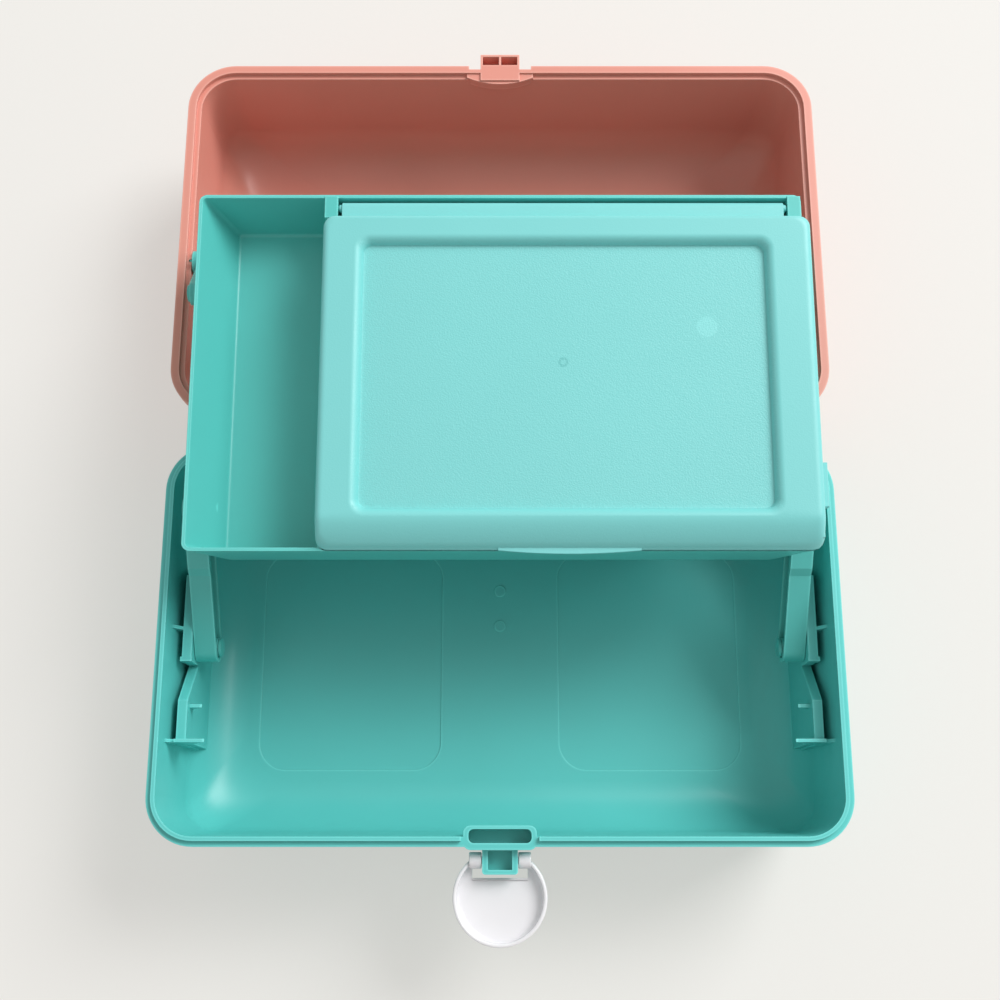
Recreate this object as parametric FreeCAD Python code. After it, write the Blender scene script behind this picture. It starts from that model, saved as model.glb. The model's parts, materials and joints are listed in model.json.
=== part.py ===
"""Hard-plastic vanity case with a swing-out tray, modelled open and lying flat.

Frame: +X to the case's right, +Y to the back, +Z up.  The origin is the centre of the base's
footprint on the surface it stands on.  All sizes are millimetres.  The case rests in its open
state: the lid turned over behind the base, the tray swung up over the hinge line, the latch out.
"""

import FreeCAD, Part

import math
import os

from FreeCAD import Vector

os.makedirs("parts", exist_ok=True)

# ---------------------------------------------------------------- clearances
RUN_CLEAR = 0.06        # radial, a pin that turns in its hole
SEAT_CLEAR = 0.02       # radial, a pin pressed into its seat
FACE_GAP = 0.3          # between faces that pass or rest beside each other
CUT_PAST = 1.0          # how far a cut runs on past the surface it opens

# ---------------------------------------------------------------- base and lid shells
CASE_WIDTH = 330.0
CASE_DEPTH = 194.0
SHELL_HEIGHT = 74.0
CORNER_R = 23.0
WALL = 2.2
FLANGE_OUT = 2.4        # how far the base's rim flange stands out from the wall
LID_FLANGE_OUT = 4.2    # and the lid's
BASE_FLANGE_H = 3.5
LID_FLANGE_H = 6.0
DRAFT_DEG = 3.5
BOWL_R = 28.0           # large radius between wall and floor
BOWL_CORNER_GROWTH = 0.35  # how fast the plan corners widen as the bowl curves in
BOWL_STEPS = 6          # sections of the bowl below its first
TONGUE_T = 2.0
TONGUE_H = 2.2
TONGUE_CLEAR = 0.25
RIM_GAP = 0.2           # closed lid above the base's shoulder
PANEL_DEPTH = 0.5       # shallow floor panels inside the base
PANEL_GAP = 62.0        # between the two panels
PANEL_EDGE = 6.0        # panel in from the flat floor's edge
PANEL_R = 14.0
GATE_MARK_R = 3.0
GATE_MARK_H = 0.5
GATE_MARKS_Y = (36.8, 17.8)

# ---------------------------------------------------------------- lid hinge
HINGE_BACK = 9.2        # hinge axis behind the rim's back edge
HINGE_X = 95.0
KNUCKLE_R = 4.5
KNUCKLE_SIDE = 12.0
KNUCKLE_MID = 16.8
HINGE_PIN_R = 1.6
HINGE_PIN_CAP = 1.5     # closed wall at the pin's inner end

# ---------------------------------------------------------------- tray
TRAY_INSET = 18.0       # tray's side in from the case's side
TRAY_DEPTH = 177.0
TRAY_HEIGHT = 33.0
TRAY_CORNER_R = 4.0
TRAY_WALL = 1.6
TRAY_FLOOR = 2.0
TRAY_SIDE_TAPER = 13.5
TRAY_FRONT_TAPER = 1.5
TRAY_BACK_TAPER = 6.0   # leans in more, to pass the lid's wall on the way
TRAY_FILLET = 2.0
TRAY_TILT_DEG = 2.4     # back edge raised when open
TRAY_FRONT_Y = 34.6     # front rim when open
TRAY_RISE = 36.0        # front rim above the base's rim when open
TRAY_CLOSED_FRONT = -87.9
TRAY_CLOSED_RISE = 35.7     # front rim above the base's rim when shut
DIVIDER_IN = 63.5       # divider in from the tray's left side
POST_W = 6.4
POST_HALF_V = 5.6       # front of a post ahead of its pin
POST_H = 0.4
POST_DROP = 6.0         # foot of the post below the tray's rim
RIGHT_POST_INSET = 0.3

# ---------------------------------------------------------------- arms and links
ARM_INSET = 14.0        # arm's outer face in from the case's side
ARM_WIDTH = 10.6
ARM_END_R = 7.2
ARM_FLANGE_T = 1.8
ARM_WEB_T = 1.8
ARM_BOSS_R = 4.6
ARM_STEP = 1.4          # pad that thickens the arm's front face near the tray
ARM_STEP_START = 0.56
ARM_STEP_END = 0.62
ARM_PIN_R = 3.0
ARM_PIN_HEAD_R = 4.6
ARM_PIN_HEAD_T = 1.4
ARM_TRAY_V = 25.5       # tray pivot behind the tray's front rim
PIVOT_DROP = 25.5       # tray pivots below the tray's rim
ARM_BASE_DROP = 28.0    # base pivot below the base's rim
TRAY_BOSS_R = 5.5
PIN_SKIN = 0.6          # tray wall left in front of a pivot pin's seat
LINK_INSET = 13.4       # link's inner face in from the case's side
LINK_T = 3.0
LINK_END_R = 6.0
LINK_PIN_R = 2.5
LINK_HEAD_R = 4.2
LINK_LID_BACK = 82.6    # lid pivot of the link in from the lid's hinge-side rim edge
LINK_LID_DEPTH = 5.0    # lid pivot below the open lid's rim
LINK_STUB_L = 1.6

# ---------------------------------------------------------------- brackets moulded in the base
BRACKET_T = 4.7
BRACKET_FRONT_Y = -47.7
BRACKET_LEVEL_Y = -28.0
BRACKET_NOTCH_Y = -8.8
BRACKET_BACK_Y = 34.0
BRACKET_FOOT_Y = 52.0
BRACKET_TOP = 14.0      # drops below the rim
BRACKET_BAND_TOP = 16.0
BRACKET_NOTCH_DROP = 33.0
BRACKET_EAR = 0.8       # small snap ears beside the notch
BRACKET_EAR_L = 2.2
BRACKET_EAR_H = 6.0
BRACKET_RIB_DROP = 4.5  # top of the ribs where they meet the side wall
RIB_T = 1.6
REST_RIB_REACH = 10.0
REST_RIB_H = 16.0
REST_NUB_Y = -30.3
REST_NUB_REACH = 6.0
REST_NUB_H = 8.0
OUTER_RIB_Y = 7.5

# ---------------------------------------------------------------- compartment lid on the tray
CLID_LAP = 2.0          # past the divider on the left
CLID_OVERHANG = 3.0     # past the tray's side on the right
CLID_PANEL_IN = 7.6     # back of the panel ahead of the hinge
CLID_TOP = 5.0
CLID_T = 1.8
CLID_ROLL_V = 13.0      # depth of the rolled front edge
CLID_NOSE = 1.2         # upright part below the roll
CLID_CORNER_R = 5.5
CLID_HINGE_IN = 6.4     # hinge ahead of the tray's back rim
CLID_HINGE_W = -2.0
CLID_KNUCKLE_R = 2.8
CLID_PIN_R = 1.2
CLID_PIN_L = 12.0
CLID_SKIRT_DROP = 4.0
RECESS_DEPTH = 1.4
RECESS_SLOPE = 4.0
RECESS_EDGE_L = 15.5
RECESS_EDGE_R = 18.5
RECESS_EDGE_F = 15.0
RECESS_EDGE_B = 10.4
RECESS_R = 7.0
TAB_LENGTH = 66.0
TAB_REACH = 1.6
TAB_T = 1.4
SIDE_TAB_V = (20.7, 41.8)
SIDE_TAB_REACH = 3.6
MIRROR_T = 1.8
MIRROR_INSET = 5.0
MIRROR_R = 5.0

# ---------------------------------------------------------------- front latch and its seat
LATCH_OUT = 6.0         # latch axis in front of the rim's front edge
LATCH_DROP = 9.0
LATCH_BLOCK_HALF_W = 8.3
LATCH_BLOCK_REACH = 6.4
LATCH_BLOCK_HALF_H = 4.0
LATCH_WINDOW_HALF_W = 5.6
LATCH_WINDOW_L = 8.6
BARREL_R = 3.75
BARREL_L = 4.4
LATCH_STUB_R = 1.7
LATCH_STUB_L = 3.1
LATCH_BLOCK_R = 1.5
LATCH_WINDOW_FLOOR = 1.2
DISC_R = 22.0
DISC_CENTRE = 16.8      # disc centre from the latch axis
DISC_NOTCH = 8.0        # depth of the notch for the block, from the latch axis
DISC_SKIN_Z = 5.0       # skin's outer face below the axis, latch lying out
DISC_SKIN_T = 1.5
DISC_RING_T = 1.4
DISC_RING_H = 7.0
DISC_LIP_T = 0.9        # wall along the notch, short of the closed catch
HOOK_HALF_W = 4.0
HOOK_T = 1.2
HOOK_H = 0.5
POCKET_HALF_W = 14.6
POCKET_SIDE = 2.4
POCKET_FRONT = 3.1
POCKET_BACK = 1.6
POCKET_DEPTH_Y = 6.3
POCKET_DEPTH_Z = 12.0
POCKET_FLOOR = 2.2
POCKET_R = 3.3
POCKET_WELL_R = 2.4
POCKET_FRONT_OUT = 1.4  # front plate stands out from the flange
CATCH_HALF_W = 10.5
CATCH_REACH = 8.7
CATCH_H = 7.8
CATCH_WALL = 1.2
LAND_HALF_W = 17.8      # half-round land that closes the latch pocket
LAND_REACH = 3.9
LAND_DROP = 1.0
LAND_PLATE_REACH = 8.6
NOTCH_HALF_W = 16.7
NOTCH_DEPTH = 2.0

# ---------------------------------------------------------------- carrying handle in the lid's top
HANDLE_SPAN = 116.0
HANDLE_REACH = 32.0     # pivot axis to grip centre
HANDLE_T = 11.0
HANDLE_BAR_W = 15.0
HANDLE_LEG_W = 11.0
HANDLE_ROUND = 3.5
HANDLE_PIN_R = 2.5
HANDLE_PIN_L = 14.0
HANDLE_BOSS_R = 5.5
HANDLE_BOSS_L = 6.0
HANDLE_SINK = 1.0       # folded handle below the lid's face
WELL_DEPTH = 14.0
WELL_MARGIN = 3.0
WELL_R = 6.0

# ---------------------------------------------------------------- derived frame values
RIM_Z = SHELL_HEIGHT
ARM_OUTER_X = CASE_WIDTH / 2 - ARM_INSET
LINK_INNER_X = CASE_WIDTH / 2 - LINK_INSET
TRAY_HALF_W = CASE_WIDTH / 2 - TRAY_INSET
DIVIDER_X = DIVIDER_IN - TRAY_HALF_W
CLID_LEFT_X = DIVIDER_X - CLID_LAP
CLID_RIGHT_X = TRAY_HALF_W + CLID_OVERHANG
CLID_HINGE_V = TRAY_DEPTH - CLID_HINGE_IN
CLID_PANEL_V = CLID_HINGE_V - CLID_PANEL_IN
LID_LIP = LID_FLANGE_OUT - FLANGE_OUT
LID_FRONT = CASE_DEPTH / 2 + LID_LIP        # in the lid's rim-up frame, forward of its centre
DRAFT = math.tan(math.radians(DRAFT_DEG))
HALF_W = CASE_WIDTH / 2 - FLANGE_OUT
HALF_D = CASE_DEPTH / 2 - FLANGE_OUT
WALL_R = CORNER_R - FLANGE_OUT
HINGE_Y = CASE_DEPTH / 2 + HINGE_BACK
HINGE_Z = RIM_Z + RIM_GAP / 2
LID_RIM_Z = 2 * HINGE_Z - RIM_Z - RIM_GAP
LID_CENTRE_Y = 2 * HINGE_Y
TILT = math.radians(TRAY_TILT_DEG)
ARM_INNER_X = ARM_OUTER_X - ARM_WIDTH
HANDLE_PIVOT_Z = -SHELL_HEIGHT + HANDLE_SINK + HANDLE_T / 2     # in the lid's rim-up frame


def mirrored(shape):
    """The same piece on the other side of the case."""
    return shape.mirror(Vector(0, 0, 0), Vector(1, 0, 0))


def box(x0, x1, y0, y1, z0, z1):
    """A box between two corners."""
    return Part.makeBox(x1 - x0, y1 - y0, z1 - z0, Vector(x0, y0, z0))


def rod_x(radius, x0, x1, y, z):
    """A round bar along X."""
    return Part.makeCylinder(radius, x1 - x0, Vector(x0, y, z), Vector(1, 0, 0))


def rounded_wire(half_w, half_d, radius, z, cx=0.0, cy=0.0):
    """A rectangle with rounded corners, flat at height z."""
    corners = ((1, 1, 0), (-1, 1, 90), (-1, -1, 180), (1, -1, 270))
    arcs = []
    for sx, sy, start in corners:
        centre = Vector(cx + sx * (half_w - radius), cy + sy * (half_d - radius), z)
        circle = Part.Circle(centre, Vector(0, 0, 1), radius)
        arcs.append(Part.Arc(circle, math.radians(start), math.radians(start + 90)).toShape())
    edges = []
    for arc, following in zip(arcs, arcs[1:] + arcs[:1]):
        edges.append(arc)
        edges.append(Part.makeLine(arc.lastVertex(True).Point, following.firstVertex(True).Point))
    return Part.Wire(edges)


def rounded_prism(half_w, half_d, radius, z0, z1, cx=0.0, cy=0.0):
    """A block with rounded vertical edges."""
    face = Part.Face(rounded_wire(half_w, half_d, radius, z0, cx, cy))
    return face.extrude(Vector(0, 0, z1 - z0))


def profile_x(points, x0, x1):
    """A side outline in the Y-Z plane, drawn out along X."""
    outline = Part.makePolygon([Vector(x0, y, z) for y, z in points + points[:1]])
    return Part.Face(outline).extrude(Vector(x1 - x0, 0, 0))


def profile_y(points, y0, y1):
    """A front outline in the X-Z plane, drawn out along Y."""
    outline = Part.makePolygon([Vector(x, y0, z) for x, z in points + points[:1]])
    return Part.Face(outline).extrude(Vector(0, y1 - y0, 0))


def fillet(shape, radius, keep):
    """Rounds the edges that keep(edge) picks."""
    edges = [edge for edge in shape.Edges if keep(edge)]
    return shape.makeFillet(radius, edges) if edges else shape


def frustum(bottom, top, half_x, half_y, cx=0.0, cy_bottom=0.0, cy_top=0.0):
    """A block with flat sloping sides; half sizes are given as (bottom, top)."""
    (x_low, x_high), (y_low, y_high) = half_x, half_y
    block = Part.makeWedge(cx - x_low, bottom, -cy_bottom - y_low,
                           -cy_top - y_high, cx - x_high,
                           cx + x_low, top, -cy_bottom + y_low,
                           -cy_top + y_high, cx + x_high)
    # the wedge's height runs along Y, so it is stood up
    block.rotate(Vector(0, 0, 0), Vector(1, 0, 0), 90)
    return block


def sloping(shape):
    """Straight edges that run from one level to another."""
    straight = [edge for edge in shape.Edges if isinstance(edge.Curve, Part.Line)]
    return [e for e in straight if abs(e.firstVertex().Point.z - e.lastVertex().Point.z) > 1]


def is_upright(edge):
    """Whether an edge runs straight up."""
    around = edge.BoundBox
    return around.XLength < RUN_CLEAR and around.YLength < RUN_CLEAR


def on_level(edge, z):
    """Whether an edge lies flat at height z."""
    box_z = edge.BoundBox
    return abs(box_z.ZMin - z) < RUN_CLEAR and abs(box_z.ZMax - z) < RUN_CLEAR


def write(name, *solids):
    """Stores one piece, or a set of equal pieces, under its name."""
    shape = solids[0] if len(solids) == 1 else Part.makeCompound(list(solids))
    shape.exportStep("parts/" + name + ".step")


# ---------------------------------------------------------------- moulded shells
def cup(half_w, half_d, radius, height, bowl_r):
    """A tapered dish, its rim at z = 0 and its floor at -height, with a bowl-like foot."""
    draft_angle = math.radians(DRAFT_DEG)
    wall_depth = height - bowl_r * (1 - math.sin(draft_angle))
    wall_inset = wall_depth * DRAFT
    sections = []
    for step in range(BOWL_STEPS + 1):
        # the section follows an arc from the wall's draft down to level
        angle = draft_angle + (math.pi / 2 - draft_angle) * step / BOWL_STEPS
        inset = wall_inset + bowl_r * (math.cos(draft_angle) - math.cos(angle))
        depth = height - bowl_r * (1 - math.sin(angle))
        corner = radius - wall_inset + BOWL_CORNER_GROWTH * (inset - wall_inset)
        sections.append(rounded_wire(half_w - inset, half_d - inset, corner, -depth))
    rim = rounded_wire(half_w, half_d, radius, 0)
    wall = Part.makeLoft([rim, sections[0]], True, True)
    return wall.fuse(Part.makeLoft(sections, True, False))


def shell_inside():
    """The hollow of either shell, below its rim."""
    return cup(HALF_W - WALL, HALF_D - WALL, WALL_R - WALL, SHELL_HEIGHT - WALL, BOWL_R - WALL)


def shell_outside():
    """The outer form of either shell, below its rim."""
    return cup(HALF_W, HALF_D, WALL_R, SHELL_HEIGHT, BOWL_R)


def wall_x(depth):
    """Inner face of a side wall at a depth below the rim."""
    return HALF_W - WALL - depth * DRAFT


def flange(height, lip=0.0):
    """The square-edged band round a rim; lip is how far it passes the base's band."""
    return rounded_prism(CASE_WIDTH / 2 + lip, CASE_DEPTH / 2 + lip, CORNER_R + lip, -height, 0)


def above_rim(height):
    """The hollow's outline carried up past the rim."""
    return rounded_prism(HALF_W - WALL, HALF_D - WALL, WALL_R - WALL, 0, height)


def knuckles(spans, up):
    """Hinge barrels with their arms; up is +1 or -1, the side of the rim that the arms lie on."""
    barrels = []
    back = HINGE_BACK + CASE_DEPTH / 2
    start = HALF_D - WALL / 2
    for x0, x1 in spans:
        low, high = sorted((0, up * KNUCKLE_R))
        barrels.append(box(x0, x1, start, back, low, high))
        barrels.append(rod_x(KNUCKLE_R, x0, x1, back, RIM_GAP / 2))
    return barrels


def side_spans(centre):
    """The base's two outer barrels at one hinge."""
    inner = KNUCKLE_MID / 2 + FACE_GAP
    outer = inner + KNUCKLE_SIDE
    return [(centre - outer, centre - inner), (centre + inner, centre + outer)]


def mid_span(centre):
    """The lid's single barrel at one hinge."""
    return [(centre - KNUCKLE_MID / 2, centre + KNUCKLE_MID / 2)]


def hinge_bore(centre, outward):
    """The pin's hole: open at the case's outer end, closed at the inner end."""
    half = KNUCKLE_MID / 2 + FACE_GAP + KNUCKLE_SIDE
    open_end = centre + outward * (half + CUT_PAST)
    closed_end = centre - outward * (half - HINGE_PIN_CAP)
    low, high = sorted((open_end, closed_end))
    return rod_x(HINGE_PIN_R + RUN_CLEAR, low, high, HINGE_BACK + CASE_DEPTH / 2, RIM_GAP / 2)


# ---------------------------------------------------------------- pivots of the linkage
def tray_point(v, w, opened=True):
    """Y and Z of a tray point, v behind its front rim and w above its rim plane."""
    if opened:
        y = TRAY_FRONT_Y + v * math.cos(TILT) - w * math.sin(TILT)
        return y, RIM_Z + TRAY_RISE + v * math.sin(TILT) + w * math.cos(TILT)
    return TRAY_CLOSED_FRONT + v, RIM_Z + TRAY_CLOSED_RISE + w


def arm_base_pivot():
    """The point at the stated drop that is equally far from the tray pivot open and closed."""
    open_y, open_z = tray_point(ARM_TRAY_V, -PIVOT_DROP)
    shut_y, shut_z = tray_point(ARM_TRAY_V, -PIVOT_DROP, False)
    z = RIM_Z - ARM_BASE_DROP
    square = open_y ** 2 - shut_y ** 2 + (open_z - z) ** 2 - (shut_z - z) ** 2
    return square / (2 * (open_y - shut_y)), z


def link_lid_pivot(opened=True):
    """The link's pivot on the lid, open or turned over the base."""
    reach = HINGE_BACK + LINK_LID_BACK
    drop = HINGE_Z - (LID_RIM_Z - LINK_LID_DEPTH)
    if opened:
        return HINGE_Y + reach, HINGE_Z - drop
    return HINGE_Y - reach, HINGE_Z + drop


def link_tray_v():
    """Tray pivot of the link, placed so that the link has one length open and closed."""
    lid_open, lid_shut = link_lid_pivot(), link_lid_pivot(False)

    def excess(v):
        a, b = tray_point(v, -PIVOT_DROP), tray_point(v, -PIVOT_DROP, False)
        return math.dist(a, lid_open) ** 2 - math.dist(b, lid_shut) ** 2

    # the difference of the squares is linear in v
    at_front = excess(0.0)
    return at_front * TRAY_DEPTH / (at_front - excess(TRAY_DEPTH))


def heading(start, end):
    """Angle above +Y of the line from start to end, in degrees."""
    return math.degrees(math.atan2(end[1] - start[1], end[0] - start[0]))


ARM_BASE = arm_base_pivot()
ARM_TRAY = tray_point(ARM_TRAY_V, -PIVOT_DROP)
ARM_TRAY_SHUT = tray_point(ARM_TRAY_V, -PIVOT_DROP, False)
ARM_LENGTH = math.dist(ARM_BASE, ARM_TRAY)
ARM_OPEN_DEG = heading(ARM_BASE, ARM_TRAY)
ARM_SHUT_DEG = heading(ARM_BASE, ARM_TRAY_SHUT)
LINK_V = link_tray_v()
LINK_LID = link_lid_pivot()
LINK_TRAY = tray_point(LINK_V, -PIVOT_DROP)
LINK_TRAY_SHUT = tray_point(LINK_V, -PIVOT_DROP, False)
LINK_LENGTH = math.dist(LINK_LID, LINK_TRAY)
LINK_OPEN_DEG = heading(LINK_LID, LINK_TRAY)
LINK_SHUT_DEG = heading(link_lid_pivot(False), LINK_TRAY_SHUT)
LATCH_Y = -CASE_DEPTH / 2 - LATCH_OUT
LATCH_Z = RIM_Z - LATCH_DROP


def arm_underside(y, pad):
    """Lowest height of a closed arm at a given Y; pad is the thickening of its lower face."""
    slope = math.radians(ARM_SHUT_DEG)
    along = (y - ARM_BASE[0]) * math.tan(slope)
    return ARM_BASE[1] + along - (ARM_END_R + pad) / abs(math.cos(slope))


# ---------------------------------------------------------------- base
def bracket():
    """Right-hand arm bracket: a thick wall with a level front, a notch and a higher band."""
    inner = ARM_OUTER_X + FACE_GAP
    outer = inner + BRACKET_T
    top, band, notch = -BRACKET_TOP, -BRACKET_BAND_TOP, -BRACKET_NOTCH_DROP
    floor = -SHELL_HEIGHT
    points = [
        (BRACKET_FRONT_Y, floor),
        (BRACKET_FRONT_Y, top),
        (BRACKET_LEVEL_Y, top),
        (BRACKET_NOTCH_Y, notch),
        (BRACKET_NOTCH_Y, band),
        (BRACKET_BACK_Y, band),
        (BRACKET_FOOT_Y, floor),
    ]
    wall = profile_x(points, inner, outer)
    ear = box(inner - BRACKET_EAR / 4, outer + BRACKET_EAR, BRACKET_NOTCH_Y,
              BRACKET_NOTCH_Y + BRACKET_EAR_L, band - BRACKET_EAR_H, band)
    pieces = [wall, ear]
    half = RIB_T / 2
    rest_y = BRACKET_FRONT_Y
    rest_top = arm_underside(rest_y + half, ARM_STEP) - FACE_GAP - RIM_Z
    nub_top = arm_underside(REST_NUB_Y + half, 0) - FACE_GAP - RIM_Z
    # inside ribs carry the closed arm and taper down to the bracket
    for y, reach, rib_top, height in ((rest_y, REST_RIB_REACH, rest_top, REST_RIB_H),
                                      (REST_NUB_Y, REST_NUB_REACH, nub_top, REST_NUB_H)):
        outline = [(outer, rib_top), (inner - reach, rib_top), (inner, rib_top - height),
                   (outer, rib_top - height)]
        pieces.append(profile_y(outline, y - half, y + half))
    # outside ribs rise from the bracket's edge to the side wall
    for y, rib_top in ((rest_y, top), (OUTER_RIB_Y, band)):
        outline = [(outer - RIB_T, floor), (outer - RIB_T, rib_top), (outer, rib_top),
                   (HALF_W, -BRACKET_RIB_DROP), (HALF_W, floor)]
        pieces.append(profile_y(outline, y - half, y + half))
    return pieces[0].multiFuse(pieces[1:])


def pocket_block():
    """The thickened front of the base's rim that the latch block stands on."""
    depth = POCKET_FRONT + POCKET_DEPTH_Y + POCKET_BACK
    half_w = POCKET_HALF_W + POCKET_SIDE
    low = -POCKET_DEPTH_Z - POCKET_FLOOR
    return rounded_prism(half_w, depth / 2, POCKET_R, low, 0, 0, pocket_front() + depth / 2)


def pocket_front():
    """Y of the front plate that the latch block stands on."""
    return -CASE_DEPTH / 2 - POCKET_FRONT_OUT


def pocket_cavity():
    """The open well behind the front plate."""
    middle = pocket_front() + POCKET_FRONT + POCKET_DEPTH_Y / 2
    return rounded_prism(POCKET_HALF_W, POCKET_DEPTH_Y / 2, POCKET_WELL_R, -POCKET_DEPTH_Z,
                         TONGUE_H + CUT_PAST, 0, middle)


def tongue_gap():
    """Where the tongue stops on both sides of the well, to clear the lid's land."""
    half_w = LAND_HALF_W + FACE_GAP
    back = pocket_front() + POCKET_FRONT + POCKET_DEPTH_Y + POCKET_BACK
    return box(-half_w, half_w, -CASE_DEPTH / 2, back, 0, TONGUE_H + CUT_PAST)


def latch_block():
    """The windowed block that carries the latch between its barrels."""
    axis_y, axis_z = LATCH_Y, LATCH_Z - RIM_Z
    front = axis_y - LATCH_BLOCK_REACH
    back = pocket_front() + POCKET_FRONT / 2
    block = box(-LATCH_BLOCK_HALF_W, LATCH_BLOCK_HALF_W, front, back,
                axis_z - LATCH_BLOCK_HALF_H, axis_z + LATCH_BLOCK_HALF_H)
    return fillet(block, LATCH_BLOCK_R, lambda e: is_upright(e) and e.CenterOfMass.y < axis_y)


def latch_window():
    """The well in the latch block, open at the top; the latch's stubs end in it."""
    axis_z = LATCH_Z - RIM_Z
    half = LATCH_WINDOW_L / 2
    floor = axis_z - LATCH_BLOCK_HALF_H + LATCH_WINDOW_FLOOR
    return box(-LATCH_WINDOW_HALF_W, LATCH_WINDOW_HALF_W, LATCH_Y - half, LATCH_Y + half,
               floor, axis_z + LATCH_BLOCK_HALF_H + CUT_PAST)


def base_shell():
    """Bottom shell with its rim, brackets, hinge barrels and latch block."""
    outside = shell_outside()
    adds = [flange(BASE_FLANGE_H), pocket_block()]
    for x in (-HINGE_X, HINGE_X):
        adds += knuckles(side_spans(x), -1)
    shell = outside.multiFuse(adds).cut(shell_inside().fuse(above_rim(KNUCKLE_R)))
    brackets = bracket().common(outside)
    # the well's back wall stands inside the shell, so the block is added again after hollowing
    shell = shell.multiFuse([pocket_block(), tongue().cut(tongue_gap()), latch_block(), brackets,
                             mirrored(brackets)])
    cuts = [pocket_cavity(), latch_window()]
    stub_reach = LATCH_BLOCK_HALF_W + CUT_PAST
    cuts.append(rod_x(LATCH_STUB_R + RUN_CLEAR, -stub_reach, stub_reach, LATCH_Y, LATCH_Z - RIM_Z))
    hole = rod_x(ARM_PIN_R + SEAT_CLEAR, ARM_OUTER_X, ARM_OUTER_X + BRACKET_T + CUT_PAST,
                 ARM_BASE[0], ARM_BASE[1] - RIM_Z)
    cuts += [hole, mirrored(hole)]
    for side in (-1, 1):
        cuts.append(hinge_bore(side * HINGE_X, side))
        cuts.append(floor_panel(side))
    shell = shell.cut(Part.makeCompound(cuts))
    marks = [Part.makeCylinder(GATE_MARK_R, GATE_MARK_H + WALL / 2,
                               Vector(0, y, -SHELL_HEIGHT + WALL / 2)) for y in GATE_MARKS_Y]
    shell = shell.multiFuse(marks).removeSplitter()
    shell.translate(Vector(0, 0, RIM_Z))
    return shell


def tongue():
    """The thin wall on the rim that locates the closed lid."""
    inner = (HALF_W - WALL, HALF_D - WALL, WALL_R - WALL)
    outer = [size + TONGUE_T for size in inner]
    return rounded_prism(*outer, -WALL, TONGUE_H).cut(rounded_prism(*inner, -WALL, TONGUE_H))


def wall_floor_inset():
    """How far the flat floor's edge lies in from the rim's wall."""
    draft_angle = math.radians(DRAFT_DEG)
    wall_depth = SHELL_HEIGHT - BOWL_R * (1 - math.sin(draft_angle))
    return wall_depth * DRAFT + BOWL_R * math.cos(draft_angle)


def floor_panel(side):
    """One shallow sunk panel in the base's floor."""
    inner = PANEL_GAP / 2
    outer = HALF_W - wall_floor_inset() - PANEL_EDGE
    half_d = HALF_D - wall_floor_inset() - PANEL_EDGE
    floor = -SHELL_HEIGHT + WALL
    return rounded_prism((outer - inner) / 2, half_d, PANEL_R, floor - PANEL_DEPTH,
                         floor + PANEL_DEPTH, side * (inner + outer) / 2, 0)


# ---------------------------------------------------------------- lid
def well_size():
    """Half length, half width and centre offset of the handle's well."""
    half_x = HANDLE_SPAN / 2 + WELL_MARGIN
    back = HANDLE_LEG_W / 2 + WELL_MARGIN
    front = HANDLE_REACH + HANDLE_BAR_W / 2 + WELL_MARGIN
    return half_x, (back + front) / 2, (front - back) / 2


def lid_shell():
    """Top shell, built like the base with its rim up, then turned round and moved behind it."""
    outside = shell_outside()
    inside = shell_inside()
    half_x, half_y, offset = well_size()
    adds = [flange(LID_FLANGE_H, LID_LIP)]
    for x in (-HINGE_X, HINGE_X):
        adds += lid_knuckles(x)
    shell = outside.multiFuse(adds).cut(inside.fuse(above_rim(KNUCKLE_R)))
    # the step that takes the base's tongue
    step = rounded_prism(HALF_W - WALL + TONGUE_T + TONGUE_CLEAR,
                         HALF_D - WALL + TONGUE_T + TONGUE_CLEAR,
                         WALL_R - WALL + TONGUE_T + TONGUE_CLEAR,
                         -TONGUE_H - FACE_GAP, KNUCKLE_R + CUT_PAST)
    # the well for the folded handle
    well_wall = rounded_prism(half_x + WALL, half_y + WALL, WELL_R + WALL, -SHELL_HEIGHT,
                              -SHELL_HEIGHT + WELL_DEPTH + WALL, 0, offset)
    bosses = []
    for side in (-1, 1):
        x0, x1 = sorted((side * half_x, side * (half_x + WALL + HANDLE_BOSS_L)))
        bosses.append(rod_x(HANDLE_BOSS_R, x0, x1, 0, HANDLE_PIVOT_Z))
    catch, cells = lid_catch()
    shell = shell.multiFuse([well_wall, catch] + bosses)
    well = rounded_prism(half_x, half_y, WELL_R, -SHELL_HEIGHT - CUT_PAST,
                         -SHELL_HEIGHT + WELL_DEPTH, 0, offset)
    cuts = [step, well, notch()] + cells
    for side, centre in ((-1, -HINGE_X), (1, HINGE_X)):
        cuts.append(hinge_bore(centre, side))
        x0, x1 = sorted((side * (half_x - CUT_PAST),
                         side * (half_x + WALL + HANDLE_BOSS_L - WALL / 2)))
        cuts.append(rod_x(HANDLE_PIN_R + SEAT_CLEAR, x0, x1, 0, HANDLE_PIVOT_Z))
        cuts.append(link_seat(side))
    shell = shell.cut(Part.makeCompound(cuts)).multiFuse(land()).removeSplitter()
    turn = Vector(0, 0, 1)
    shell.rotate(Vector(0, 0, 0), turn, 180)
    shell.translate(Vector(0, LID_CENTRE_Y, LID_RIM_Z))
    return shell


def lid_knuckles(x):
    """The lid's hinge barrel; in the lid's own rim-up frame its arm lies below the rim."""
    barrels = []
    back = HINGE_BACK + CASE_DEPTH / 2
    for x0, x1 in mid_span(x):
        barrels.append(box(x0, x1, HALF_D - WALL / 2, back, -KNUCKLE_R, 0))
        barrels.append(rod_x(KNUCKLE_R, x0, x1, back, RIM_GAP / 2))
    return barrels


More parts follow.
